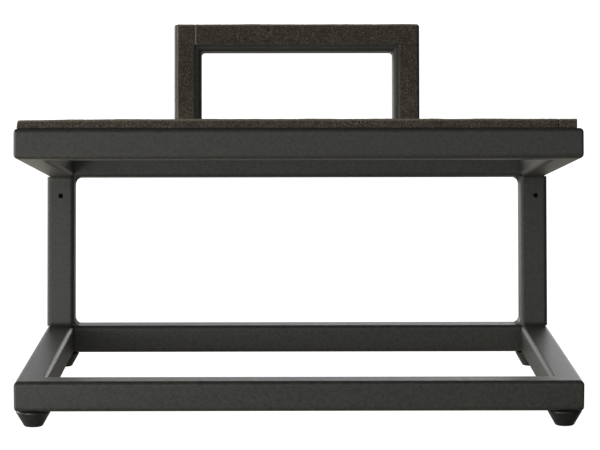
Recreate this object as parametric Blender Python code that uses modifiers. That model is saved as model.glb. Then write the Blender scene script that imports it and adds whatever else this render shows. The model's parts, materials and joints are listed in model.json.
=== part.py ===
"""Tilt-back floor stand: a welded frame of square steel tube with foam strips and rubber feet.

Metres, +Z up, +X to the right and +Y to the back. The origin is on the floor, at the middle of the
stand's width and depth. The base frame lies flat. Two posts lean back from its rear corners and carry
the seat frame, which is square to them, and a low backrest stands on the seat's rear rail.
"""

import math

import bmesh
import bpy
from mathutils import Matrix, Vector

# Driving dimensions
TUBE = 0.0205
WALL = 0.0015
TUBE_CORNER = 0.0032
WIDTH = 0.380
FRAME_DEPTH = 0.250
TILT = math.radians(8.7)
SEAT_REAR_HEIGHT = 0.1527
BACKREST_WIDTH = 0.1868
BACKREST_RISE = 0.0955
VENT_DIAMETER = 0.0033
VENT_DROP = 0.0249
VENT_X = {"left": -0.1795, "right": 0.1815}

FOAM_THICKNESS = 0.0063
FRONT_FOAM_WIDTH = 0.014
FRONT_FOAM_SETBACK = 0.003
FRONT_FOAM_LEFT_END = -0.1875
FRONT_FOAM_SEAM = -0.0012
SIDE_FOAM_WIDTH = 0.0125
SIDE_FOAM_SETBACK = {"left": 0.0035, "right": 0.0040}
SIDE_FOAM_REAR_MARGIN = 0.004
BACKREST_FOAM_LEFT = (-0.0911, -0.0777)
BACKREST_FOAM_RIGHT = (0.0774, 0.0917)
BACKREST_FOAM_TOP_WIDTH = 0.0157
BACKREST_FOAM_TOP_MARGIN = 0.0006

FOOT_HEIGHT = 0.0114
FOOT_TOP_RADIUS = 0.0116
FOOT_BOTTOM_RADIUS = 0.0067
FOOT_SHOULDER = 0.0015
FOOT_TREAD_ROUND = 0.0009
FOOT_INSET = 0.0118
FOOT_RECESS_RADIUS = 0.0040
FOOT_RECESS_DEPTH = 0.0058
SCREW_HOLE_RADIUS = 0.00205
SCREW_SHANK_RADIUS = 0.00175
SCREW_HEAD_RADIUS = 0.0034
SCREW_HEAD_HEIGHT = 0.0024
SCREW_REACH = 0.0055
WASHER_RADIUS = 0.0037
WASHER_THICKNESS = 0.0008

POST_WELD_LEGS = (0.0042, 0.0055)
POST_FRONT_WELD_LEGS = (0.0028, 0.0028)
BACKREST_FOOT_WELD_LEGS = (0.0040, 0.0040)
BACKREST_TOP_WELD_LEGS = (0.0022, 0.0022)
WELD_MARGIN = 0.0020

CORNER_STEPS = 5
TURN_STEPS = 24
GAP = 0.0003
HALF_GAP = GAP / 2

# Derived positions, before the whole stand is centred over the origin
BASE_HEIGHT = FOOT_HEIGHT + TUBE / 2
BASE_TOP = FOOT_HEIGHT + TUBE
POST_X = WIDTH / 2 - TUBE / 2
RAIL_SPAN = FRAME_DEPTH - TUBE
POST_FOOT_Y = FRAME_DEPTH - TUBE / 2 / math.cos(TILT)
SEAT_REAR_Y = POST_FOOT_Y + (SEAT_REAR_HEIGHT - BASE_TOP) * math.tan(TILT)
TUBE_REACH = (TUBE / 2 - TUBE_CORNER) * (math.cos(TILT) + math.sin(TILT)) + TUBE_CORNER
DEPTH = SEAT_REAR_Y + BACKREST_RISE * math.sin(TILT) + TUBE_REACH

X_AXIS = Vector((1, 0, 0))
Y_AXIS = Vector((0, 1, 0))
Z_AXIS = Vector((0, 0, 1))
SIDES = {"left": -1, "right": 1}
ENDS = {"front": -1, "rear": 1}


def clear_scene():
    for obj in list(bpy.data.objects):
        bpy.data.objects.remove(obj, do_unlink=True)


def new_collection(name):
    collection = bpy.data.collections.new(name)
    bpy.context.scene.collection.children.link(collection)
    return collection


def new_material(name, colour, roughness, metallic=0.0):
    material = bpy.data.materials.new(name)
    material.use_nodes = True
    shader = material.node_tree.nodes["Principled BSDF"]
    shader.inputs["Base Color"].default_value = (*colour, 1.0)
    shader.inputs["Roughness"].default_value = roughness
    shader.inputs["Metallic"].default_value = metallic
    return material


def new_empty(name, parent=None, location=(0, 0, 0), tilt=0.0):
    empty = bpy.data.objects.new(name, None)
    empty.parent = parent
    empty.location = location
    empty.rotation_euler = (tilt, 0, 0)
    parts.objects.link(empty)
    return empty


def add_object(name, data, material, parent, location=(0, 0, 0)):
    obj = bpy.data.objects.new(name, data)
    obj.parent = parent
    obj.location = location
    if material:
        obj.data.materials.append(material)
    parts.objects.link(obj)
    return obj


def mesh_from(bm, name):
    """The bmesh as a mesh, shaded smooth except across its sharp edges."""
    mesh = bpy.data.meshes.new(name)
    bmesh.ops.recalc_face_normals(bm, faces=bm.faces)
    bm.to_mesh(mesh)
    bm.free()
    mesh.shade_smooth()
    mesh.set_sharp_from_angle(angle=math.radians(35))
    return mesh


def cut_away(body, name, mesh, parent, location=(0, 0, 0)):
    """Cuts a hidden mesh out of a body with a Boolean."""
    cutter = add_object(name, mesh, None, parent, location)
    parts.objects.unlink(cutter)
    cutters.objects.link(cutter)
    cutter.hide_render = True
    cutter.display_type = "WIRE"
    boolean = body.modifiers.new(name, "BOOLEAN")
    boolean.operation = "DIFFERENCE"
    boolean.solver = "EXACT"
    boolean.object = cutter


def rounded_bar(axis, length, width, corner):
    """A square bar of this length along an axis, centred, with its long edges rounded."""
    size = [width + abs(part) * (length - width) for part in axis]
    bm = bmesh.new()
    bmesh.ops.create_cube(bm, size=1.0, matrix=Matrix.Diagonal((*size, 1.0)))
    long_edges = [
        edge
        for edge in bm.edges
        if abs((edge.verts[1].co - edge.verts[0].co).dot(axis)) > length / 2
    ]
    bmesh.ops.bevel(
        bm,
        geom=long_edges,
        offset=corner,
        offset_type="OFFSET",
        segments=CORNER_STEPS,
        profile=0.5,
        affect="EDGES",
    )
    return bm


def cut_end(bm, point, normal):
    """Removes what lies beyond the plane, half a gap short of it, and closes the end."""
    normal = normal.normalized()
    bmesh.ops.bisect_plane(
        bm,
        geom=bm.verts[:] + bm.edges[:] + bm.faces[:],
        plane_co=point - normal * HALF_GAP,
        plane_no=normal,
        clear_outer=True,
    )
    bmesh.ops.holes_fill(bm, edges=[edge for edge in bm.edges if edge.is_boundary])


def tube(name, parent, centre, axis, length, ends):
    """A length of square tube along an axis, cut at each end by a plane (point, normal) and bored through."""
    outer = rounded_bar(axis, length + 2 * TUBE, TUBE, TUBE_CORNER)
    for point, normal in ends:
        cut_end(outer, point, normal)
    body = add_object(name, mesh_from(outer, name), paint, parent, centre)
    bore = rounded_bar(axis, length + 4 * TUBE, TUBE - 2 * WALL, TUBE_CORNER - WALL)
    cut_away(body, name + "_bore", mesh_from(bore, name + "_bore"), parent, centre)
    return body


def mitred_tube(name, parent, centre, axis, inward, length):
    """One side of a rectangular frame, as long as the frame's side and mitred towards its inside."""
    reach = (length - TUBE) / 2
    ends = [(axis * sign * reach, axis * sign + inward) for sign in (-1, 1)]
    return tube(name, parent, centre, axis, length, ends)


def rectangular_frame(name, parent, middle_y):
    """Front, rear, left and right rails round a rectangle that lies in its parent's XY plane."""
    rails = {}
    for end, sign in ENDS.items():
        centre = Vector((0, middle_y + sign * RAIL_SPAN / 2, 0))
        rail = f"{name}_{end}_rail"
        rails[end] = mitred_tube(rail, parent, centre, X_AXIS, -Y_AXIS * sign, WIDTH)
    for side, sign in SIDES.items():
        centre = Vector((sign * POST_X, middle_y, 0))
        rail = f"{name}_{side}_rail"
        rails[side] = mitred_tube(rail, parent, centre, Y_AXIS, -X_AXIS * sign, FRAME_DEPTH)
    return rails


def build_posts(seat):
    """Two posts, square under the seat frame and cut flat on top of the base frame."""
    down = Matrix.Rotation(TILT, 3, "X") @ -Z_AXIS
    drop = (SEAT_REAR_HEIGHT - BASE_TOP) / math.cos(TILT)
    top = drop / 2 - TUBE / 2 - HALF_GAP
    bottom = -drop / 2 + HALF_GAP / math.cos(TILT)
    for side, sign in SIDES.items():
        centre = Vector((sign * POST_X, 0, -drop / 2))
        ends = [
            (Vector((0, 0, top)), Z_AXIS),
            (Vector((0, 0, bottom)), down),
        ]
        post = tube(side + "_post", seat, centre, Z_AXIS, drop, ends)
        vent = bmesh.new()
        bmesh.ops.create_cone(
            vent,
            cap_ends=True,
            segments=TURN_STEPS,
            radius1=VENT_DIAMETER / 2,
            radius2=VENT_DIAMETER / 2,
            depth=TUBE / 2,
            matrix=Matrix.Rotation(math.pi / 2, 4, "X"),
        )
        name = side + "_post_vent"
        cut_away(post, name, mesh_from(vent, name), seat, (VENT_X[side], -TUBE / 2, -VENT_DROP))


def build_backrest(seat):
    """An inverted U of the same tube, standing on the seat's rear rail."""
    top = Vector((0, 0, BACKREST_RISE))
    mitred_tube("backrest_top_rail", seat, top, X_AXIS, -Z_AXIS, BACKREST_WIDTH)
    for side, sign in SIDES.items():
        centre = Vector((sign * (BACKREST_WIDTH - TUBE) / 2, 0, BACKREST_RISE / 2))
        ends = [
            (Z_AXIS * BACKREST_RISE / 2, Z_AXIS - X_AXIS * sign),
            (Z_AXIS * (TUBE / 2 + HALF_GAP - BACKREST_RISE / 2), -Z_AXIS),
        ]
        tube(f"backrest_{side}_leg", seat, centre, Z_AXIS, BACKREST_RISE, ends)


def foam_strip(name, parent, low, high):
    """A strip of foam between two opposite corners, with slightly softened edges."""
    low = Vector(low)
    high = Vector(high)
    bm = bmesh.new()
    bmesh.ops.create_cube(bm, size=1.0, matrix=Matrix.Diagonal((*(high - low), 1.0)))
    strip = add_object(name, mesh_from(bm, name), foam, parent, (low + high) / 2)
    bevel = strip.modifiers.new("soft_edges", "BEVEL")
    bevel.width = 0.0006
    bevel.segments = 2


def build_seat_foam(seat):
    """Strips on the seat's front and side rails. The right one reaches the front edge of the front strips."""
    bottom = TUBE / 2 + GAP
    top = TUBE / 2 + FOAM_THICKNESS
    front = -RAIL_SPAN - TUBE / 2 + FRONT_FOAM_SETBACK
    back = front + FRONT_FOAM_WIDTH
    rear_end = TUBE / 2 - SIDE_FOAM_REAR_MARGIN
    left_edge = SIDE_FOAM_SETBACK["left"] - WIDTH / 2
    right_edge = WIDTH / 2 - SIDE_FOAM_SETBACK["right"]
    corner_seam = right_edge - SIDE_FOAM_WIDTH
    spans = {
        "foam_front_left": (FRONT_FOAM_LEFT_END, FRONT_FOAM_SEAM - HALF_GAP, front, back),
        "foam_front_right": (FRONT_FOAM_SEAM + HALF_GAP, corner_seam - GAP, front, back),
        "foam_left_side": (left_edge, left_edge + SIDE_FOAM_WIDTH, back + GAP, rear_end),
        "foam_right_side": (corner_seam, right_edge, front, rear_end),
    }
    for name, (x_low, x_high, y_low, y_high) in spans.items():
        foam_strip(name, seat, (x_low, y_low, bottom), (x_high, y_high, top))


def build_backrest_foam(seat):
    """Strips on the front of the backrest. The left one runs to the top and the top one starts beside it."""
    front = -TUBE / 2 - FOAM_THICKNESS
    back = -TUBE / 2 - GAP
    foot = TUBE / 2 + GAP
    head = BACKREST_RISE + TUBE / 2 - BACKREST_FOAM_TOP_MARGIN
    under_top = head - BACKREST_FOAM_TOP_WIDTH
    left_low, left_high = BACKREST_FOAM_LEFT
    right_low, right_high = BACKREST_FOAM_RIGHT
    spans = {
        "foam_backrest_left": (left_low, left_high, foot, head),
        "foam_backrest_top": (left_high + GAP, right_high, under_top, head),
        "foam_backrest_right": (right_low, right_high, foot, under_top - GAP),
    }
    for name, (x_low, x_high, z_low, z_high) in spans.items():
        foam_strip(name, seat, (x_low, front, z_low), (x_high, back, z_high))


def weld_fillet(name, parent, corner, first, second, legs):
    """A concave bead of weld in a corner, nearly as long as the tube is wide.

    Its legs lie along two directions from the corner. It is centred on the corner point and runs across both.
    """
    crossing = first.cross(second)
    along = crossing.normalized()
    start = corner + (first + second) * GAP / crossing.length
    length = TUBE - 2 * WELD_MARGIN
    outline = [(0.0, 0.0)]
    for step in range(CORNER_STEPS + 1):
        angle = math.pi / 2 * step / CORNER_STEPS
        outline.append((legs[0] * (1 - math.sin(angle)), legs[1] * (1 - math.cos(angle))))
    bm = bmesh.new()
    verts = [
        bm.verts.new(start + first * a + second * b - along * length / 2) for a, b in outline
    ]
    face = bm.faces.new(verts)
    grown = bmesh.ops.extrude_face_region(bm, geom=[face])["geom"]
    far_verts = [item for item in grown if isinstance(item, bmesh.types.BMVert)]
    bmesh.ops.translate(bm, verts=far_verts, vec=along * length)
    add_object(name, mesh_from(bm, name), paint, parent)


def build_side_welds(stand, seat):
    """Beads in the inner corners where the posts and the backrest's legs meet the rails across them."""
    inner_x = WIDTH / 2 - TUBE
    leg_x = BACKREST_WIDTH / 2 - TUBE
    post_y = FRAME_DEPTH - TUBE / 2
    for side, sign in SIDES.items():
        inward = X_AXIS * -sign
        base = Vector((sign * inner_x, post_y, BASE_TOP))
        under_seat = Vector((sign * inner_x, 0, -TUBE / 2))
        foot = Vector((sign * leg_x, 0, TUBE / 2))
        top = Vector((sign * leg_x, 0, BACKREST_RISE - TUBE / 2))
        weld_fillet(f"weld_base_{side}", stand, base, inward, Z_AXIS, POST_WELD_LEGS)
        weld_fillet(f"weld_seat_{side}", seat, under_seat, inward, -Z_AXIS, POST_WELD_LEGS)
        name = f"weld_backrest_foot_{side}"
        weld_fillet(name, seat, foot, inward, Z_AXIS, BACKREST_FOOT_WELD_LEGS)
        name = f"weld_backrest_top_{side}"
        weld_fillet(name, seat, top, inward, -Z_AXIS, BACKREST_TOP_WELD_LEGS)


def build_post_front_welds(stand, seat):
    """Beads across the front of each post, at its foot on the base and at its head under the seat."""
    up_post = Vector((0, math.sin(TILT), math.cos(TILT)))
    foot_y = FRAME_DEPTH - TUBE / math.cos(TILT)
    for side, sign in SIDES.items():
        foot = Vector((sign * POST_X, foot_y, BASE_TOP))
        head = Vector((sign * POST_X, -TUBE / 2, -TUBE / 2))
        weld_fillet(f"weld_post_foot_{side}", stand, foot, -Y_AXIS, up_post, POST_FRONT_WELD_LEGS)
        weld_fillet(f"weld_post_head_{side}", seat, head, -Y_AXIS, -Z_AXIS, POST_FRONT_WELD_LEGS)


def arc(centre, radius, start, end, steps):
    """Points along an arc in the XZ plane, with angles in degrees from +X towards +Z."""
    angles = [math.radians(start + (end - start) * step / steps) for step in range(steps + 1)]
    return [
        (centre[0] + radius * math.cos(angle), centre[1] + radius * math.sin(angle))
        for angle in angles
    ]


def turned(name, outline, material, parent):
    """A solid of revolution about Z, from a closed outline that runs down its outer side."""
    bm = bmesh.new()
    verts = [bm.verts.new((x, 0, z)) for x, z in outline]
    for first, second in zip(verts, verts[1:]):
        bm.edges.new((first, second))
    if outline[0][0] > 0:
        bm.edges.new((verts[-1], verts[0]))
    mesh = bpy.data.meshes.new(name)
    bm.to_mesh(mesh)
    bm.free()
    obj = add_object(name, mesh, material, parent)
    screw = obj.modifiers.new("turn", "SCREW")
    screw.steps = TURN_STEPS
    screw.render_steps = TURN_STEPS
    screw.use_merge_vertices = True
    screw.merge_threshold = 0.00001
    screw.use_smooth_shade = True
    return obj


def foot_outline():
    """A tapered foot with a round shoulder, a recess from below and a hole for its screw."""
    top = FOOT_HEIGHT - GAP
    shoulder = arc(
        (FOOT_TOP_RADIUS - FOOT_SHOULDER, top - FOOT_SHOULDER), FOOT_SHOULDER, 90, -25, 5
    )
    tread = arc(
        (FOOT_BOTTOM_RADIUS - FOOT_TREAD_ROUND, FOOT_TREAD_ROUND), FOOT_TREAD_ROUND, -25, -90, 3
    )
    inside = [
        (FOOT_RECESS_RADIUS, 0),
        (FOOT_RECESS_RADIUS, FOOT_RECESS_DEPTH),
        (SCREW_HOLE_RADIUS, FOOT_RECESS_DEPTH),
        (SCREW_HOLE_RADIUS, top),
    ]
    return shoulder + tread + inside


def washer_outline():
    top = FOOT_RECESS_DEPTH - GAP
    bottom = top - WASHER_THICKNESS
    return [
        (WASHER_RADIUS, top),
        (WASHER_RADIUS, bottom),
        (SCREW_HOLE_RADIUS, bottom),
        (SCREW_HOLE_RADIUS, top),
    ]


def screw_outline():
    """A pan-head self-tapping screw, head down, with a pointed tip inside the rail."""
    seat = FOOT_RECESS_DEPTH - 2 * GAP - WASHER_THICKNESS
    head_bottom = seat - SCREW_HEAD_HEIGHT
    tip = FOOT_HEIGHT + SCREW_REACH
    round_edge = 0.0012
    rim = arc(
        (SCREW_HEAD_RADIUS - round_edge, head_bottom + round_edge), round_edge, 0, -90, 3
    )
    shank = [
        (0, tip),
        (SCREW_SHANK_RADIUS, tip - SCREW_SHANK_RADIUS * 1.6),
        (SCREW_SHANK_RADIUS, seat),
        (SCREW_HEAD_RADIUS, seat),
    ]
    return shank + rim + [(0, head_bottom)]


def cut_cross_recess(screw, parent):
    """A cross recess in the screw's head."""
    head_bottom = FOOT_RECESS_DEPTH - 2 * GAP - WASHER_THICKNESS - SCREW_HEAD_HEIGHT
    for axis, size in (("x", (0.0036, 0.0009, 0.0024)), ("y", (0.0009, 0.0036, 0.0024))):
        bm = bmesh.new()
        bmesh.ops.create_cube(bm, size=1.0, matrix=Matrix.Diagonal((*size, 1.0)))
        name = f"{screw.name}_recess_{axis}"
        cut_away(screw, name, mesh_from(bm, name), parent, (0, 0, head_bottom))


def build_feet(stand, rails):
    """A rubber foot under each corner of the base, held by a screw and a washer in its recess."""
    for end, y in (("front", FOOT_INSET), ("rear", FRAME_DEPTH - FOOT_INSET)):
        for side, sign in SIDES.items():
            place = f"{end}_{side}"
            x = sign * (WIDTH / 2 - FOOT_INSET)
            corner = new_empty(f"corner_{place}", stand, (x, y, 0))
            turned(f"foot_{place}", foot_outline(), rubber, corner)
            turned(f"foot_washer_{place}", washer_outline(), steel, corner)
            screw = turned(f"foot_screw_{place}", screw_outline(), steel, corner)
            cut_cross_recess(screw, corner)
            for rail in (end, side):
                hole = bmesh.new()
                bmesh.ops.create_cone(
                    hole,
                    cap_ends=True,
                    segments=TURN_STEPS,
                    radius1=SCREW_HOLE_RADIUS,
                    radius2=SCREW_HOLE_RADIUS,
                    depth=TUBE / 2,
                )
                name = f"screw_hole_{place}_{rail}"
                cut_away(rails[rail], name, mesh_from(hole, name), corner, (0, 0, FOOT_HEIGHT))


clear_scene()
parts = new_collection("tilt_back_floor_stand")
cutters = new_collection("cutters")

paint = new_material("black_powder_coat", (0.052, 0.052, 0.049), 0.55, 0.2)
foam = new_material("dark_foam", (0.035, 0.030, 0.024), 0.95)
rubber = new_material("black_rubber", (0.012, 0.012, 0.012), 0.6)
steel = new_material("zinc_plated_steel", (0.55, 0.55, 0.54), 0.35, 1.0)

stand = new_empty("stand", location=(0, -DEPTH / 2, 0))
base = new_empty("base", stand, (0, 0, BASE_HEIGHT))
seat = new_empty("seat", stand, (0, SEAT_REAR_Y, SEAT_REAR_HEIGHT), -TILT)

base_rails = rectangular_frame("base", base, FRAME_DEPTH / 2)
rectangular_frame("seat", seat, -RAIL_SPAN / 2)
build_posts(seat)
build_backrest(seat)
build_side_welds(stand, seat)
build_post_front_welds(stand, seat)
build_seat_foam(seat)
build_backrest_foam(seat)
build_feet(stand, base_rails)
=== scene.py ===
"""Looks of the tilt-back floor stand: coated tubes, weld beads, foam strips, rubber feet and a studio."""

import json
import math

import bmesh
import bpy
from mathutils import Matrix, Vector, noise

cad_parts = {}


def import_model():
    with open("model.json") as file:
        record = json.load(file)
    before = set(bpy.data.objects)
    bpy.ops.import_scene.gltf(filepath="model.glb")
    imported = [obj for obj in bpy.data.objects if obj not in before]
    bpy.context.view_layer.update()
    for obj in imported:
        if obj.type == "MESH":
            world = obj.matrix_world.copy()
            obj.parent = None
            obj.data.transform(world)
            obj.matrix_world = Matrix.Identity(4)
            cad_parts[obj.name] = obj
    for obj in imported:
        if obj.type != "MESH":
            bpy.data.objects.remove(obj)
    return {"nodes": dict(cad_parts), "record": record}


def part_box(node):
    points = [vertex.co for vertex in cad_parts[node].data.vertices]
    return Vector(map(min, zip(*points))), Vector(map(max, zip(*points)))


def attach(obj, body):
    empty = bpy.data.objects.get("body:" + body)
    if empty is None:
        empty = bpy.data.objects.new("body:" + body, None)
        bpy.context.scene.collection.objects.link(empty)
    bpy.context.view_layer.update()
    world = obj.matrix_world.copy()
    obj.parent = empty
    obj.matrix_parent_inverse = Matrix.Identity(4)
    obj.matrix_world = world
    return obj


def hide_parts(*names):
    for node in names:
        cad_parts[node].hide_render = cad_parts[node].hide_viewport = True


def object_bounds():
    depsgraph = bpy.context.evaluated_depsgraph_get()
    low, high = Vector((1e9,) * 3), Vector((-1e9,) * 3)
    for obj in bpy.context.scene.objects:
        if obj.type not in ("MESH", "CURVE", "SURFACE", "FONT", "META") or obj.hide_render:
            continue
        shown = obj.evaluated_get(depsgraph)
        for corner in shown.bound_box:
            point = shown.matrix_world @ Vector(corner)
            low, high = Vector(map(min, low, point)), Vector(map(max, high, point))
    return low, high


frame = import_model()
cad_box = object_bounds()

# Sizes that repeat the CAD model's own, in metres
TUBE = 0.0205
WALL = 0.0015
TUBE_CORNER = 0.0032
JOINT_GAP = 0.0003
VENT_RADIUS = 0.00165
VENT_DROP = 0.0249
VENT_X = {"left": -0.1795, "right": 0.1815}
SCREW_HOLE = 0.00205
FOOT_TREAD_RADIUS = 0.0067
FOOT_SHOULDER = 0.0015
FOOT_RECESS_RADIUS = 0.0040
FOOT_RECESS_DEPTH = 0.0058
SCREW_HEAD_HEIGHT = 0.0024

# Finer detail of the tubes. Points of a cut shape that are closer than a sliver are merged.
CORNER_STEPS = 12
GROUND_CORNER = 0.0014
VENT_CHAMFER = 0.0003
VENT_CUTTER_OUT = 0.001
VENT_CUTTER_IN = 0.006
SCREW_DRILL_REACH = 0.004
SLIVER = 0.000005

# Finer detail of the weld beads. Their ends' size and their ripple are shares of the bead's own size.
BEAD_SINK = 0.0004
BEAD_END_LENGTH = 0.0022
BEAD_END_SIZE = 0.35
BEAD_RIPPLE = 0.035
BEAD_RIPPLE_PITCH = 0.0011
BEAD_STEPS = 64
BEAD_ARC_STEPS = 10

# Finer detail of the foam. Each layer of its unevenness has a frequency, per metre, and a height. The glued
# share is how much of that is left where the strip meets its tube.
FOAM_CELL = 0.0008
FOAM_CORNER = 0.0007
FOAM_LAYERS = ((42.0, 0.00028), (230.0, 0.00010), (850.0, 0.00014))
FOAM_GLUED_SHARE = 0.25
FOAM_SEED_STEP = Vector((0.37, 0.11, 0.23))
SEAM_OVERRUN = 0.55 * JOINT_GAP
SEAM_DEPTH = 0.00022
SEAM_WIDTH = 0.0011
SLANT_LENGTH = 0.004
THIN_POWER = 1.5
# The painted highlight along the foam's edges, where light catches them: its strongest line, in from the
# edge, and how far it fades out to each side of that line
HIGHLIGHT_INSET = 0.0004
HIGHLIGHT_WIDTH = 0.0010

# Finer detail of the feet and their screws. The flank's angle is the way it faces, in degrees from level.
# The screw's lengths are from its point: to where its thread starts, and to where its cone is half as wide.
FOOT_TREAD_ROUND = 0.0013
FOOT_FLANK_ANGLE = -30
FOOT_LIP = 0.0004
WASHER_EDGE = 0.00015
SCREW_HEAD_ROUND = 0.0012
SCREW_CREST = 0.00172
SCREW_ROOT = 0.00140
SCREW_PITCH = 0.0008
SCREW_THREAD_START = 0.0026
SCREW_CONE_HALFWAY = 0.0014
SCREW_RUNOUT = 0.0004
CROSS_LENGTH = 0.0038
CROSS_WIDTH = 0.0009
CROSS_HEIGHT = 0.0026

X, Y, Z = 0, 1, 2
SIDES = {"left": -1, "right": 1}
# The side on which a foam strip's tube lies, by the axis of the strip's thickness
TUBE_SIDE = {Z: -1, Y: 1}
CORNERS = [f"{end}_{side}" for end in ("front", "rear") for side in SIDES]
nodes = frame["nodes"]


def seat_tilt():
    """How far the seat leans back, from the direction that its front pad faces."""
    pad = next(m for m in frame["record"]["mounts"] if m["name"] == "seat_front_pad")
    return math.atan2(pad["axis"][Y], pad["axis"][Z])


FLAT = Matrix.Identity(4)
SEAT = Matrix.Rotation(-seat_tilt(), 4, "X")


# ---------------------------------------------------------------- helpers


def local_box(node, axes):
    """Lowest and highest corners of a CAD node along these axes."""
    turn = axes.inverted()
    points = [turn @ vert.co for vert in nodes[node].data.vertices]
    low = Vector([min(values) for values in zip(*points)])
    high = Vector([max(values) for values in zip(*points)])
    return low, high


def unit(axis, sign=1):
    vector = Vector((0, 0, 0))
    vector[axis] = sign
    return vector


def fade(distance, reach):
    """1 at no distance, and down evenly to 0 at this reach."""
    return max(0.0, 1 - distance / reach)


def link(name, mesh, axes=FLAT):
    obj = bpy.data.objects.new(name, mesh)
    bpy.context.scene.collection.objects.link(obj)
    obj.matrix_world = axes
    return obj


def mesh_of(bm, name, sharp=35):
    """A smooth-shaded mesh that is creased where its faces meet at more than this angle, in degrees."""
    bmesh.ops.recalc_face_normals(bm, faces=bm.faces)
    mesh = bpy.data.meshes.new(name)
    bm.to_mesh(mesh)
    bm.free()
    mesh.shade_smooth()
    mesh.set_sharp_from_angle(angle=math.radians(sharp))
    return mesh


def apply_modifiers(obj, sharp=35):
    """Makes the object's evaluated shape its own mesh, without the slivers that a cut can leave."""
    graph = bpy.context.evaluated_depsgraph_get()
    mesh = bpy.data.meshes.new_from_object(obj.evaluated_get(graph))
    bm = bmesh.new()
    bm.from_mesh(mesh)
    bmesh.ops.remove_doubles(bm, verts=bm.verts, dist=SLIVER)
    bmesh.ops.dissolve_degenerate(bm, dist=SLIVER, edges=bm.edges)
    bm.to_mesh(mesh)
    bm.free()
    obj.modifiers.clear()
    obj.data = mesh
    mesh.shade_smooth()
    mesh.set_sharp_from_angle(angle=math.radians(sharp))


def boolean(obj, cutter, operation):
    modifier = obj.modifiers.new(operation.lower(), "BOOLEAN")
    modifier.operation = operation
    modifier.solver = "EXACT"
    modifier.object = cutter
    return modifier


def finish_piece(obj, node, material):
    """Dresses a piece, hangs it from the root, and hides the CAD node that it stands for."""
    obj.data.materials.clear()
    obj.data.materials.append(material)
    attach(obj, "root")
    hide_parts(node)


# ---------------------------------------------------------------- materials


class Nodes:
    """A short way to build a tree of shader nodes. A value is a socket to link or a plain value to set."""

    def __init__(self, tree):
        self.tree = tree

    def feed(self, socket, value):
        if isinstance(value, bpy.types.NodeSocket):
            self.tree.links.new(value, socket)
        else:
            socket.default_value = value

    def node(self, kind, inputs=(), **settings):
        made = self.tree.nodes.new(kind)
        for key, value in settings.items():
            setattr(made, key, value)
        for key, value in dict(inputs).items():
            self.feed(made.inputs[key], value)
        return made

    def math(self, operation, *values):
        return self.node("ShaderNodeMath", enumerate(values), operation=operation).outputs[0]

    def product(self, first, *others):
        for other in others:
            first = self.math("MULTIPLY", first, other)
        return first

    def span(self, value, low, high, new_low=0.0, new_high=1.0):
        """Takes the range from low to high to a new one, and holds the value within it."""
        inputs = {"Value": value, "From Min": low, "From Max": high, "To Min": new_low, "To Max": new_high}
        return self.node("ShaderNodeMapRange", inputs).outputs["Result"]

    def mix(self, share, first, second):
        """A colour between two others. The node's colour inputs are 6 and 7, and its value inputs 2 and 3."""
        return self.node("ShaderNodeMix", {0: share, 6: first, 7: second}, data_type="RGBA").outputs[2]

    def mix_values(self, share, first, second):
        return self.node("ShaderNodeMix", {0: share, 2: first, 3: second}, data_type="FLOAT").outputs[0]

    def camera_sees(self):
        """1 for what the camera sees directly, and 0 for the light that reaches the object."""
        return self.node("ShaderNodeLightPath").outputs["Is Camera Ray"]


class Shader(Nodes):
    """A new material and its surface, with textures placed by the object's own coordinates."""

    def __init__(self, name):
        self.material = bpy.data.materials.new(name)
        self.material.use_nodes = True
        super().__init__(self.material.node_tree)
        self.surface = self.tree.nodes["Principled BSDF"]
        self.place = self.node("ShaderNodeTexCoord").outputs["Object"]

    def noise(self, scale, detail, roughness):
        inputs = {"Vector": self.place, "Scale": scale, "Detail": detail, "Roughness": roughness}
        return self.node("ShaderNodeTexNoise", inputs).outputs["Fac"]

    def cells(self, scale, feature="F1"):
        inputs = {"Vector": self.place, "Scale": scale}
        return self.node("ShaderNodeTexVoronoi", inputs, feature=feature).outputs["Distance"]

    def bump(self, height, strength, distance, below=None):
        inputs = {"Height": height, "Strength": strength, "Distance": distance}
        if below:
            inputs["Normal"] = below
        return self.node("ShaderNodeBump", inputs).outputs["Normal"]

    def join(self, **sockets):
        """Links or sets the surface's own sockets. A name's underscores stand for spaces."""
        for key, value in sockets.items():
            self.feed(self.surface.inputs[key.replace("_", " ")], value)
        return self.material


def powder_coat():
    """Satin black powder coat: fine orange peel, a little mottling in tone and gloss."""
    shader = Shader("satin_powder_coat")
    mottle = shader.noise(scale=400.0, detail=4.0, roughness=0.7)
    grain = shader.noise(scale=1100.0, detail=3.0, roughness=0.65)
    peel = shader.noise(scale=420.0, detail=2.0, roughness=0.5)
    dark = (0.0140, 0.0140, 0.0120, 1)
    light = (0.0470, 0.0468, 0.0405, 1)
    speck = (0.060, 0.059, 0.051, 1)
    tone = shader.mix(shader.span(mottle, 0.32, 0.68), dark, light)
    specked = shader.mix(shader.span(grain, 0.40, 0.72, 0.0, 0.6), tone, speck)
    gloss = shader.span(mottle, 0.3, 0.7, 0.40, 0.52)
    fine = shader.bump(grain, strength=0.40, distance=0.00015)
    relief = shader.bump(peel, strength=0.25, distance=0.00025, below=fine)
    return shader.join(Base_Color=specked, Roughness=gloss, Normal=relief)


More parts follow.
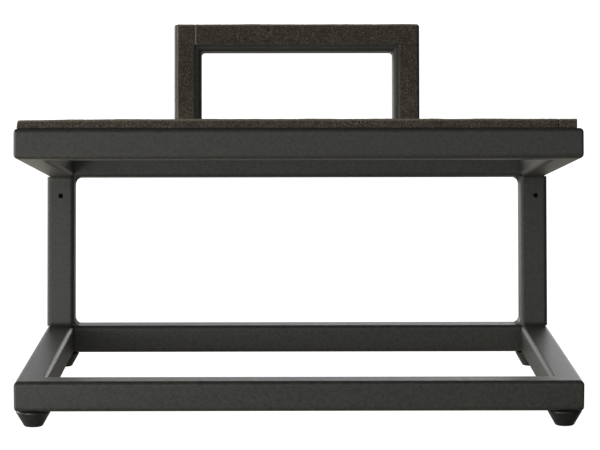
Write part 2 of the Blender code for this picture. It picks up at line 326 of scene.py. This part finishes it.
def open_cell_foam():
    """Dark brown-grey foam with open cells: pores darkened with painted shade, pale flecks, a painted
    highlight along its edges, and no gloss.
    """
    shader = Shader("open_cell_foam")
    pores = shader.cells(1000.0)
    struts = shader.cells(1900.0, "DISTANCE_TO_EDGE")
    cloud = shader.noise(scale=120.0, detail=3.0, roughness=0.6)
    patch = shader.noise(scale=32.0, detail=2.0, roughness=0.5)
    fleck = shader.noise(scale=1150.0, detail=1.0, roughness=0.5)
    # A painted highlight along the foam's edges, where light catches them, as the mesh gives it
    edge_highlight = shader.node("ShaderNodeAttribute", attribute_name="edge_highlight").outputs["Fac"]
    dark = (0.060, 0.053, 0.0425, 1)
    light = (0.095, 0.084, 0.066, 1)
    # Painted shade in the hollows of the pores
    pore_shade = (0.012, 0.0105, 0.009, 1)
    pale = (0.22, 0.190, 0.140, 1)
    # The colour of the painted highlight along the edges
    highlight_tint = (0.30, 0.262, 0.188, 1)
    base = shader.mix(shader.span(cloud, 0.3, 0.7), dark, light)
    # The pores are darkened with painted shade, darkest at each pore's middle
    pore_shaded = shader.mix(shader.span(pores, 0.15, 0.75, 0.80, 0.0), base, pore_shade)
    spread = shader.product(shader.span(fleck, 0.54, 0.72), shader.span(patch, 0.38, 0.64, 0.45, 0.85))
    flecked = shader.mix(spread, pore_shaded, pale)
    # The painted highlight is mixed in along the edges
    edged = shader.mix(shader.span(edge_highlight, 0.0, 0.8, 0.0, 0.75), flecked, highlight_tint)
    coarse = shader.bump(pores, strength=0.55, distance=0.0004)
    relief = shader.bump(struts, strength=0.35, distance=0.0002, below=coarse)
    shader.join(Base_Color=edged, Roughness=1.0, Normal=relief)
    return shader.join(Specular_IOR_Level=0.15, Sheen_Weight=0.12, Sheen_Roughness=0.6)


def moulded_rubber():
    """Black moulded rubber with a faint bloom and fine pitting."""
    shader = Shader("moulded_rubber")
    bloom = shader.noise(scale=260.0, detail=4.0, roughness=0.6)
    pits = shader.noise(scale=1800.0, detail=2.0, roughness=0.5)
    dark = (0.0115, 0.0124, 0.0124, 1)
    light = (0.0200, 0.0212, 0.0212, 1)
    tone = shader.mix(shader.span(bloom, 0.35, 0.75), dark, light)
    relief = shader.bump(pits, strength=0.2, distance=0.0001)
    gloss = shader.span(bloom, 0.3, 0.7, 0.20, 0.30)
    return shader.join(Base_Color=tone, Roughness=gloss, Normal=relief)


def zinc_plate():
    """Bright zinc plate, a little cloudy, with fine marks."""
    shader = Shader("zinc_plate")
    cloud = shader.noise(scale=700.0, detail=3.0, roughness=0.6)
    marks = shader.noise(scale=5200.0, detail=2.0, roughness=0.5)
    tone = shader.mix(cloud, (0.42, 0.42, 0.43, 1), (0.62, 0.61, 0.58, 1))
    relief = shader.bump(marks, strength=0.15, distance=0.00005)
    gloss = shader.span(cloud, 0.3, 0.7, 0.24, 0.38)
    return shader.join(Base_Color=tone, Roughness=gloss, Metallic=1.0, Normal=relief)


# ---------------------------------------------------------------- tubes


def rounded_square(width, corner):
    """Points round a square with round corners, anticlockwise."""
    points = []
    middle_radius = (width / 2 - corner) * math.sqrt(2)
    for quarter in range(4):
        start = math.pi / 2 * quarter
        diagonal = start + math.pi / 4
        middle = Vector((math.cos(diagonal), math.sin(diagonal))) * middle_radius
        for step in range(CORNER_STEPS + 1):
            angle = start + math.pi / 2 * step / CORNER_STEPS
            points.append(middle + Vector((math.cos(angle), math.sin(angle))) * corner)
    return points


def section(bm, centre, axis, outline, plane):
    """The tube's outline where a plane (point, normal) cuts it."""
    point_on, normal = plane
    verts = []
    for first, second in outline:
        point = centre.copy()
        point[(axis + 1) % 3] += first
        point[(axis + 2) % 3] += second
        point[axis] += (point_on - point).dot(normal) / normal[axis]
        verts.append(bm.verts.new(point))
    return verts


def bridge(bm, first, second):
    """Faces between two rings with the same number of points."""
    count = len(first)
    for i in range(count):
        j = (i + 1) % count
        bm.faces.new((first[i], first[j], second[j], second[i]))


def tube_mesh(name, centre, axis, planes):
    """A hollow square tube between two planes."""
    bm = bmesh.new()
    outside = rounded_square(TUBE, TUBE_CORNER)
    inside = rounded_square(TUBE - 2 * WALL, TUBE_CORNER - WALL)
    outer = [section(bm, centre, axis, outside, plane) for plane in planes]
    inner = [section(bm, centre, axis, inside, plane) for plane in planes]
    bridge(bm, *outer)
    bridge(bm, *inner)
    bridge(bm, outer[0], inner[0])
    bridge(bm, outer[1], inner[1])
    return mesh_of(bm, name)


def ground_envelope(name, low, high, axis, axes):
    """A box round a frame with the edges along one axis cut back, as its corners are ground after welding."""
    spare = 0.00001
    length = 1.0
    size = high - low + Vector((2, 2, 2)) * spare
    size[axis] = length
    bm = bmesh.new()
    bmesh.ops.create_cube(bm, size=1.0, matrix=Matrix.Diagonal((*size, 1.0)))
    edges = [e for e in bm.edges if abs((e.verts[1].co - e.verts[0].co)[axis]) > length / 2]
    bmesh.ops.bevel(bm, geom=edges, offset=GROUND_CORNER, segments=1, affect="EDGES")
    bmesh.ops.translate(bm, verts=bm.verts, vec=(low + high) / 2)
    return link(name, mesh_of(bm, name), axes)


def tube_piece(name, node, axes, axis, planes, envelope=None, cutters=()):
    """A tube between two planes, in place of its CAD node, cut to an envelope and by any cutters."""
    low, high = local_box(node, axes)
    piece = link(name, tube_mesh(name, (low + high) / 2, axis, planes), axes)
    if envelope:
        boolean(piece, envelope, "INTERSECT")
    for cutter in cutters:
        boolean(piece, cutter, "DIFFERENCE")
    apply_modifiers(piece)
    weighted = piece.modifiers.new("flat_faces", "WEIGHTED_NORMAL")
    weighted.keep_sharp = True
    finish_piece(piece, node, paint)


def mitre(corner, outward, inward):
    """The plane of a mitre through a frame's outer corner."""
    return corner, (outward + inward).normalized()


def frame_tubes(prefix, axes, drills=()):
    """The four rails of a rectangular frame, with their mitres closed and its corners ground."""
    names = {side: f"{prefix}_{side}_rail" for side in ("front", "rear", "left", "right")}
    spare = JOINT_GAP / math.sqrt(2)
    front_low, front_high = local_box(names["front"], axes)
    left_low, left_high = local_box(names["left"], axes)
    low = Vector((front_low.x - spare, left_low.y - spare, front_low.z))
    high = Vector((front_high.x + spare, left_high.y + spare, front_high.z))
    envelope = ground_envelope(prefix + "_envelope", low, high, Z, axes)
    rails = (("front", X, Y, 1), ("rear", X, Y, -1), ("left", Y, X, 1), ("right", Y, X, -1))
    for side, axis, across, inward_sign in rails:
        outer_edge = low if inward_sign > 0 else high
        planes = []
        for end, sign in ((low, -1), (high, 1)):
            corner = unit(axis) * end[axis] + unit(across) * outer_edge[across]
            planes.append(mitre(corner, unit(axis, sign), unit(across, inward_sign)))
        tube_piece(f"{prefix}_{side}_tube", names[side], axes, axis, planes, envelope, drills)
    bpy.data.objects.remove(envelope)


def foot_drills():
    """A drill at each foot, for its screw's hole in the wall of the tube above."""
    reach = SCREW_DRILL_REACH
    outline = [(0, reach), (SCREW_HOLE, reach), (SCREW_HOLE, -reach), (0, -reach)]
    rail_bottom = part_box("base_front_rail")[0].z
    drills = []
    for corner in CORNERS:
        low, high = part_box("foot_screw_" + corner)
        drill = link("drill_" + corner, turned_mesh("drill", outline, segments=32))
        drill.data.transform(Matrix.Translation(((low.x + high.x) / 2, (low.y + high.y) / 2, rail_bottom)))
        drills.append(drill)
    return drills


def base_tubes():
    """The base frame, drilled for the feet's screws."""
    drills = foot_drills()
    frame_tubes("base", FLAT, drills)
    for drill in drills:
        bpy.data.objects.remove(drill)


def post_tubes():
    """The posts, down to the base frame and up to the seat frame, each with its vent hole."""
    base_top = SEAT.inverted() @ Vector((0, 0, local_box("base_rear_rail", FLAT)[1].z))
    down = SEAT.inverted().to_3x3() @ Vector((0, 0, -1))
    rear_low, rear_high = local_box("seat_rear_rail", SEAT)
    seat_under = Vector((0, 0, rear_low.z))
    planes = [(base_top, down), (seat_under, unit(Z))]
    vent_z = (rear_low.z + rear_high.z) / 2 - VENT_DROP
    forward = Matrix.Rotation(math.pi / 2, 4, "X")
    outline = [
        (0, VENT_CUTTER_OUT),
        (VENT_RADIUS + VENT_CHAMFER + VENT_CUTTER_OUT, VENT_CUTTER_OUT),
        (VENT_RADIUS, -VENT_CHAMFER),
        (VENT_RADIUS, -VENT_CUTTER_IN),
        (0, -VENT_CUTTER_IN),
    ]
    for side in SIDES:
        node = side + "_post"
        front = local_box(node, SEAT)[0].y
        drill = link("drill", turned_mesh("drill", outline, segments=48), SEAT)
        drill.data.transform(Matrix.Translation((VENT_X[side], front, vent_z)) @ forward)
        tube_piece(side + "_post_tube", node, SEAT, Z, planes, None, [drill])
        bpy.data.objects.remove(drill)


def backrest_tubes():
    """The backrest's inverted U, standing on the seat's rear rail."""
    spare = JOINT_GAP / math.sqrt(2)
    low, high = local_box("backrest_top_rail", SEAT)
    low.x -= spare
    high.x += spare
    rail_top = local_box("seat_rear_rail", SEAT)[1].z
    below_legs = Vector((low.x, low.y, low.z - 1))
    envelope = ground_envelope("backrest_envelope", below_legs, high, Y, SEAT)
    planes = [
        mitre(Vector((low.x, 0, high.z)), unit(X, -1), unit(Z, -1)),
        mitre(Vector((high.x, 0, high.z)), unit(X), unit(Z, -1)),
    ]
    tube_piece("backrest_top_tube", "backrest_top_rail", SEAT, X, planes, envelope)
    for side, sign in SIDES.items():
        edge = high.x if sign > 0 else low.x
        planes = [
            (Vector((0, 0, rail_top)), unit(Z, -1)),
            mitre(Vector((edge, 0, high.z)), unit(Z), unit(X, -sign)),
        ]
        tube_piece(f"backrest_{side}_tube", f"backrest_{side}_leg", SEAT, Z, planes, envelope)
    bpy.data.objects.remove(envelope)


# ---------------------------------------------------------------- welds


def bead_outline(wide, tall):
    """A fillet's section: its two legs, sunk a little into the tubes, and a hollow face between them."""
    outline = [(-BEAD_SINK, -BEAD_SINK), (wide, -BEAD_SINK)]
    for step in range(BEAD_ARC_STEPS + 1):
        angle = math.pi / 2 * step / BEAD_ARC_STEPS
        outline.append((wide * (1 - math.sin(angle)), tall * (1 - math.cos(angle))))
    outline.append((-BEAD_SINK, tall))
    return outline


def bead_piece(name, node, axes, first, second):
    """A smooth concave bead with faint ripples and rounded ends, sunk a little into both tubes.

    first and second are the directions of its legs, away from the corner.
    """
    crossing = first.cross(second)
    basis = Matrix((first, second, crossing.normalized())).transposed().to_4x4()
    low, high = local_box(node, axes @ basis)
    spare = JOINT_GAP / crossing.length
    corner = (low.x - spare, low.y - spare)
    legs = (high.x - corner[0], high.y - corner[1])
    length = high.z - low.z
    bm = bmesh.new()
    rings = []
    for step in range(BEAD_STEPS + 1):
        along = length * step / BEAD_STEPS
        taper = math.sqrt(1 - fade(min(along, length - along), BEAD_END_LENGTH) ** 2)
        ripple = BEAD_RIPPLE * math.sin(along / BEAD_RIPPLE_PITCH * math.tau)
        grown = (BEAD_END_SIZE + (1 - BEAD_END_SIZE) * taper) * (1 + ripple * taper)
        outline = bead_outline(legs[0] * grown, legs[1] * grown)
        rings.append([bm.verts.new((corner[0] + a, corner[1] + b, low.z + along)) for a, b in outline])
    for before, after in zip(rings, rings[1:]):
        bridge(bm, before, after)
    bm.faces.new(rings[0])
    bm.faces.new(rings[-1])
    bmesh.ops.transform(bm, matrix=basis, verts=bm.verts)
    piece = link(name, mesh_of(bm, name, sharp=50), axes)
    finish_piece(piece, node, paint)


def weld_beads():
    """Beads at the inner corners, and across the front of each post at its foot and head."""
    up = unit(Z)
    forward = unit(Y, -1)
    up_post = SEAT.to_3x3() @ up
    for side, sign in SIDES.items():
        inward = unit(X, -sign)
        bead_piece(f"bead_base_{side}", f"weld_base_{side}", FLAT, inward, up)
        bead_piece(f"bead_seat_{side}", f"weld_seat_{side}", SEAT, inward, -up)
        bead_piece(f"bead_backrest_foot_{side}", f"weld_backrest_foot_{side}", SEAT, inward, up)
        bead_piece(f"bead_backrest_top_{side}", f"weld_backrest_top_{side}", SEAT, inward, -up)
        bead_piece(f"bead_post_foot_{side}", f"weld_post_foot_{side}", FLAT, forward, up_post)
        bead_piece(f"bead_post_head_{side}", f"weld_post_head_{side}", SEAT, forward, -up)


# ---------------------------------------------------------------- foam


def lattice_box(low, high, cell):
    """The surface of a box as an even grid of faces."""
    size = high - low
    counts = [max(2, round(size[axis] / cell)) for axis in (X, Y, Z)]
    bm = bmesh.new()
    verts = {}

    def vert(key):
        if key not in verts:
            verts[key] = bm.verts.new([low[a] + size[a] * key[a] / counts[a] for a in (X, Y, Z)])
        return verts[key]

    for axis in (X, Y, Z):
        first, second = (axis + 1) % 3, (axis + 2) % 3
        for level in (0, counts[axis]):
            for i in range(counts[first]):
                for j in range(counts[second]):
                    corners = []
                    for di, dj in ((0, 0), (1, 0), (1, 1), (0, 1)):
                        key = [0, 0, 0]
                        key[axis] = level
                        key[first] = i + di
                        key[second] = j + dj
                        corners.append(vert(tuple(key)))
                    bm.faces.new(corners)
    return bm


def foam_piece(name, node, thick_axis, seed, joins=(), slants=(), thins=(), highlit_faces=(Y, Z)):
    """A strip of foam with soft edges and an uneven, cellular face. It lies flat on the tube.

    joins are the ends (axis, sign) that butt against another strip. slants pull an end's foot out (axis,
    sign, reach), and thins press an end down (axis, sign, length, drop). The last argument names the faces,
    of left, front and top, whose shared edges get a painted highlight, where light catches them.
    """
    low, high = local_box(node, SEAT)
    tube_side = TUBE_SIDE[thick_axis]
    against = low[thick_axis] - JOINT_GAP if tube_side < 0 else high[thick_axis] + JOINT_GAP
    (low if tube_side < 0 else high)[thick_axis] = against
    core_low = low + Vector((1, 1, 1)) * FOAM_CORNER
    core_high = high - Vector((1, 1, 1)) * FOAM_CORNER
    for axis, sign in joins:
        edge, core = (high, core_high) if sign > 0 else (low, core_low)
        edge[axis] += sign * SEAM_OVERRUN
        core[axis] = edge[axis]
    thickness = high[thick_axis] - low[thick_axis]
    shift = FOAM_SEED_STEP * seed

    def from_end(point, axis, sign):
        return abs(point[axis] - (high if sign > 0 else low)[axis])

    bm = lattice_box(low, high, FOAM_CELL)
    # A painted highlight along the chosen edges, kept on the mesh for the foam's material
    edge_highlight = bm.verts.layers.float.new("edge_highlight")
    for vert in bm.verts:
        point = vert.co.copy()
        core = Vector([min(max(point[a], core_low[a]), core_high[a]) for a in (X, Y, Z)])
        outward = (point - core).normalized()
        free = min(1.0, abs(point[thick_axis] - against) / thickness)
        # The painted highlight is strongest a little in from the edge that the chosen faces share, and there
        # is none against the tube
        from_faces = (point.x - low.x, point.y - low.y, high.z - point.z)
        from_edge = sorted(from_faces[axis] for axis in highlit_faces)[1]
        vert[edge_highlight] = fade(abs(from_edge - HIGHLIGHT_INSET), HIGHLIGHT_WIDTH) * free
        lift = sum(noise.noise((point + shift) * frequency) * height for frequency, height in FOAM_LAYERS)
        for axis, sign in joins:
            lift -= SEAM_DEPTH * fade(from_end(point, axis, sign), SEAM_WIDTH)
        freedom = FOAM_GLUED_SHARE + (1 - FOAM_GLUED_SHARE) * free
        place = core + outward * (FOAM_CORNER + lift * freedom)
        for axis, sign, reach in slants:
            place[axis] += sign * reach * fade(from_end(point, axis, sign), SLANT_LENGTH) * (1 - free)
        for axis, sign, length, drop in thins:
            near = fade(from_end(point, axis, sign), length) ** THIN_POWER
            place[thick_axis] += tube_side * drop * near * free
        if (place[thick_axis] - against) * tube_side > 0 or free == 0:
            place[thick_axis] = against
        vert.co = place
    piece = link(name, mesh_of(bm, name, sharp=180), SEAT)
    finish_piece(piece, node, foam)


def foam_strips():
    """The seven strips. On the seat the tube is below the foam, and on the backrest it is behind it."""
    left_end = {"slants": [(X, -1, 0.0008)], "thins": [(X, -1, 0.08, 0.0008)]}
    foam_piece("front_strip_left", "foam_front_left", Z, 1, [(X, 1)], **left_end)
    foam_piece("front_strip_right", "foam_front_right", Z, 2, [(X, -1), (X, 1)])
    foam_piece("side_strip_left", "foam_left_side", Z, 3, [(Y, -1)])
    foam_piece("side_strip_right", "foam_right_side", Z, 4)
    foam_piece("backrest_strip_left", "foam_backrest_left", Y, 5, highlit_faces=(X, Y, Z))
    foam_piece("backrest_strip_top", "foam_backrest_top", Y, 6, [(X, -1)], highlit_faces=(X, Y, Z))
    foam_piece("backrest_strip_right", "foam_backrest_right", Y, 7, [(Z, 1)], highlit_faces=(X, Z))


# ---------------------------------------------------------------- feet


def turned_mesh(name, outline, segments):
    """A solid of revolution about Z, from an outline of radii and heights.

    The outline starts and ends on the axis, or closes on itself round a hole.
    """
    bm = bmesh.new()
    angles = [math.tau * turn / segments for turn in range(segments)]
    rings = []
    for radius, z in outline:
        if radius == 0:
            rings.append([bm.verts.new((0, 0, z))])
        else:
            rings.append([bm.verts.new((radius * math.cos(a), radius * math.sin(a), z)) for a in angles])
    pairs = list(zip(rings, rings[1:]))
    if outline[0][0] > 0:
        pairs.append((rings[-1], rings[0]))
    for first, second in pairs:
        if len(first) == 1:
            for i in range(segments):
                bm.faces.new((first[0], second[i], second[(i + 1) % segments]))
        elif len(second) == 1:
            for i in range(segments):
                bm.faces.new((first[i], first[(i + 1) % segments], second[0]))
        else:
            bridge(bm, first, second)
    return mesh_of(bm, name, sharp=40)


def arc(centre, radius, start, end, steps):
    """Points on an arc in the plane of radius and height, with angles in degrees."""
    angles = [math.radians(start + (end - start) * step / steps) for step in range(steps + 1)]
    return [(centre[0] + radius * math.cos(a), centre[1] + radius * math.sin(a)) for a in angles]


def foot_mesh(radius, height, name):
    """A tapered foot with a round shoulder and tread, and a stepped recess for the washer and screw."""
    top = height + JOINT_GAP
    shoulder, tread = FOOT_SHOULDER, FOOT_TREAD_ROUND
    recess = FOOT_RECESS_RADIUS
    outline = arc((radius - shoulder, top - shoulder), shoulder, 90, FOOT_FLANK_ANGLE, steps=10)
    outline += arc((FOOT_TREAD_RADIUS - tread, tread), tread, FOOT_FLANK_ANGLE, -90, steps=8)
    outline += arc((recess + FOOT_LIP, FOOT_LIP), FOOT_LIP, -90, -180, steps=4)
    outline += [(recess, FOOT_RECESS_DEPTH), (SCREW_HOLE, FOOT_RECESS_DEPTH), (SCREW_HOLE, top)]
    return turned_mesh(name, outline, segments=96)


def washer_mesh(radius, height, name):
    """A flat washer with its edges broken."""
    edge = WASHER_EDGE
    outline = [
        (radius - edge, height),
        (radius, height - edge),
        (radius, edge),
        (radius - edge, 0),
        (SCREW_HOLE + edge, 0),
        (SCREW_HOLE, edge),
        (SCREW_HOLE, height - edge),
        (SCREW_HOLE + edge, height),
    ]
    return turned_mesh(name, outline, segments=64)


def screw_mesh(radius, height, name):
    """A pan-head screw, head down, whose thread is a stack of turned ridges."""
    outline = [(0, height), (SCREW_ROOT / 2, height - SCREW_CONE_HALFWAY)]
    z = height - SCREW_THREAD_START
    while z - SCREW_PITCH > SCREW_HEAD_HEIGHT + SCREW_RUNOUT:
        outline += [(SCREW_ROOT, z), (SCREW_CREST, z - SCREW_PITCH / 2)]
        z -= SCREW_PITCH
    outline += [(SCREW_ROOT, z), (SCREW_ROOT, SCREW_HEAD_HEIGHT), (radius, SCREW_HEAD_HEIGHT)]
    outline += arc((radius - SCREW_HEAD_ROUND, SCREW_HEAD_ROUND), SCREW_HEAD_ROUND, 0, -90, steps=6)
    outline.append((0, 0))
    return turned_mesh(name, outline, segments=64)


def cut_cross(screw, place):
    """Cuts a cross recess into the screw's head, around this place on its face."""
    bm = bmesh.new()
    for size in ((CROSS_LENGTH, CROSS_WIDTH, CROSS_HEIGHT), (CROSS_WIDTH, CROSS_LENGTH, CROSS_HEIGHT)):
        bmesh.ops.create_cube(bm, size=1.0, matrix=Matrix.Translation(place) @ Matrix.Diagonal((*size, 1.0)))
    cutter = link("cross", mesh_of(bm, "cross"))
    boolean(screw, cutter, "DIFFERENCE").use_self = True
    apply_modifiers(screw, sharp=40)
    bpy.data.objects.remove(cutter)


def feet():
    """Each foot with its washer and screw, in place of the plainer CAD ones."""
    kinds = (
        ("foot", "rubber_foot", foot_mesh, rubber, "black_rubber"),
        ("foot_washer", "washer", washer_mesh, zinc, "zinc_plated_steel"),
        ("foot_screw", "screw", screw_mesh, zinc, "zinc_plated_steel"),
    )
    for corner in CORNERS:
        for prefix, title, maker, material, slot in kinds:
            node = f"{prefix}_{corner}"
            low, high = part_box(node)
            name = f"{title}_{corner}"
            piece = link(name, maker((high.x - low.x) / 2, high.z - low.z, name))
            place = Vector(((low.x + high.x) / 2, (low.y + high.y) / 2, low.z))
            piece.data.transform(Matrix.Translation(place))
            if prefix == "foot_screw":
                cut_cross(piece, place)
            finish_piece(piece, node, material)


# ---------------------------------------------------------------- studio

# The camera, in metres, millimetres and degrees. Its distance is from the stand's front.
CAMERA_X = -0.009329
CAMERA_DISTANCE = 1.583946
CAMERA_HEIGHT = 0.328895
CAMERA_LENS = 145.16
CAMERA_DOWN = 6.9173
CAMERA_ROLL = 0.0495
CAMERA_TURN = -0.3655

FLOOR_REACH = 20.0
PAPER_GLOW = 1.0
ROOM_GLOW = 0.08

# Pools of light on the floor, which the object sees and the camera doesn't: to the left, in front, under the
# stand, to the right and behind. Each has a strength, and the stretches (axis, from dark, to full) over which
# it fades in.
POOLS = (
    (1.12, ((X, -0.17, -0.30), (Y, -0.30, -0.16))),
    (0.8, ((X, 0.45, -0.25), (Y, -0.22, -0.36), (Y, -0.60, -0.46))),
    (0.19, ((X, -0.20, -0.15), (X, 0.20, 0.15), (Y, 0.25, 0.05), (Y, -0.30, -0.16))),
    (0.34, ((X, 0.15, 0.18), (X, 0.32, 0.27), (Y, -0.13, -0.10))),
    (0.3, ((Y, 0.35, 0.50), (Y, 1.05, 0.85), (X, -0.45, -0.30), (X, 0.45, 0.30))),
)

# How bright the room is round the horizon, by bearing in degrees from the front and positive to the left
AROUND = (
    (-180, 2.3),
    (-172, 3.1),
    (-158, 3.7),
    (-152, 0.0),
    (-26, 0.0),
    (-18, 1.05),
    (0, 1.55),
    (45, 1.6),
    (84, 3.7),
    (100, 5.5),
    (115, 7.0),
    (130, 5.8),
    (142, 4.3),
    (155, 2.2),
    (163, 1.2),
    (172, 1.7),
    (180, 2.3),
)
# The share of it that is left at each height, by the sine of the elevation
UPWARD = ((0.0, 0.45), (0.05, 1.0), (0.20, 1.0), (0.30, 0.35), (0.60, 0.20), (0.72, 0.0))


def camera():
    """Nearly straight on, from the front and a little above."""
    data = bpy.data.cameras.new("camera")
    data.sensor_width = 36.0
    data.lens = CAMERA_LENS
    data.clip_end = 100.0
    obj = bpy.data.objects.new("camera", data)
    bpy.context.scene.collection.objects.link(obj)
    obj.location = (CAMERA_X, cad_box[0].y - CAMERA_DISTANCE, CAMERA_HEIGHT)
    obj.rotation_euler = [math.radians(angle) for angle in (90 - CAMERA_DOWN, CAMERA_ROLL, CAMERA_TURN)]
    bpy.context.scene.camera = obj


def soft_light(name, place, target, size, power, colour):
    data = bpy.data.lights.new(name, "AREA")
    data.shape = "RECTANGLE"
    data.size, data.size_y = size
    data.energy = power
    data.color = colour
    obj = bpy.data.objects.new(name, data)
    bpy.context.scene.collection.objects.link(obj)
    obj.location = place
    obj.rotation_euler = (Vector(target) - Vector(place)).to_track_quat("-Z", "Y").to_euler()


def studio_paper():
    """Matte pale paper. It is blown out to white where the camera sees it, and lights the object in pools."""
    shader = Shader("studio_paper")
    cloud = shader.noise(scale=3.0, detail=3.0, roughness=0.5)
    tone = shader.mix(cloud, (0.31, 0.305, 0.295, 1), (0.34, 0.337, 0.325, 1))
    parts = shader.node("ShaderNodeSeparateXYZ", {0: shader.place}).outputs
    pool = 0.0
    for strength, stretches in POOLS:
        fades = [shader.span(parts[axis], dark, full) for axis, dark, full in stretches]
        pool = shader.math("ADD", pool, shader.product(strength, *fades))
    seen = shader.camera_sees()
    glow = shader.mix_values(seen, pool, PAPER_GLOW)
    tint = shader.mix(seen, (1.0, 0.94, 0.80, 1), (1, 1, 1, 1))
    return shader.join(Base_Color=tone, Roughness=0.9, Emission_Color=tint, Emission_Strength=glow)


def ramp(graph, share, stops):
    """Straight lines through these stops (place, value): a colour ramp whose white is the highest value."""
    peak = max(value for _, value in stops)
    made = graph.node("ShaderNodeValToRGB", {"Fac": share})
    made.color_ramp.interpolation = "LINEAR"
    elements = made.color_ramp.elements
    while len(elements) < len(stops):
        elements.new(0.5)
    for element, (place, value) in zip(elements, stops):
        element.position = place
        element.color = (value / peak, value / peak, value / peak, 1)
    return graph.math("MULTIPLY", made.outputs["Color"], peak)


def world():
    """A white room with low, soft light: strong on the left and behind, weak in front, faint on the right."""
    made = bpy.data.worlds.new("studio")
    bpy.context.scene.world = made
    made.use_nodes = True
    graph = Nodes(made.node_tree)
    direction = graph.node("ShaderNodeTexCoord").outputs["Generated"]
    parts = graph.node("ShaderNodeSeparateXYZ", {0: direction}).outputs
    left = graph.math("MULTIPLY", parts[X], -1.0)
    front = graph.math("MULTIPLY", parts[Y], -1.0)
    turns = graph.math("MULTIPLY_ADD", graph.math("ARCTAN2", left, front), 0.5 / math.pi, 0.5)
    around = ramp(graph, turns, [(0.5 + bearing / 360, glow) for bearing, glow in AROUND])
    upward = ramp(graph, parts[Z], UPWARD)
    total = graph.math("ADD", graph.product(around, upward), ROOM_GLOW)
    background = made.node_tree.nodes["Background"]
    graph.feed(background.inputs["Color"], (1, 1, 1, 1))
    graph.feed(background.inputs["Strength"], graph.mix_values(graph.camera_sees(), total, 1.0))


def studio():
    """The floor, the camera, the room's light, and two small soft lights low at the front left."""
    bm = bmesh.new()
    bmesh.ops.create_grid(bm, x_segments=2, y_segments=2, size=FLOOR_REACH)
    floor = link("floor", mesh_of(bm, "floor"))
    floor.data.materials.append(studio_paper())
    camera()
    world()
    soft_light(
        "low",
        place=(-0.48, -0.58, 0.05),
        target=(-0.15, -0.14, 0.04),
        size=(0.12, 0.06),
        power=0.62,
        colour=(0.96, 0.98, 1.0),
    )
    soft_light(
        "catch",
        place=(-0.42, -0.93, 0.07),
        target=(0.0, -0.14, 0.06),
        size=(0.06, 0.10),
        power=0.6,
        colour=(0.98, 0.99, 1.0),
    )
    bpy.context.scene.view_settings.view_transform = "Standard"


paint = powder_coat()
foam = open_cell_foam()
rubber = moulded_rubber()
zinc = zinc_plate()

base_tubes()
frame_tubes("seat", SEAT)
post_tubes()
backrest_tubes()
weld_beads()
foam_strips()
feet()
studio()
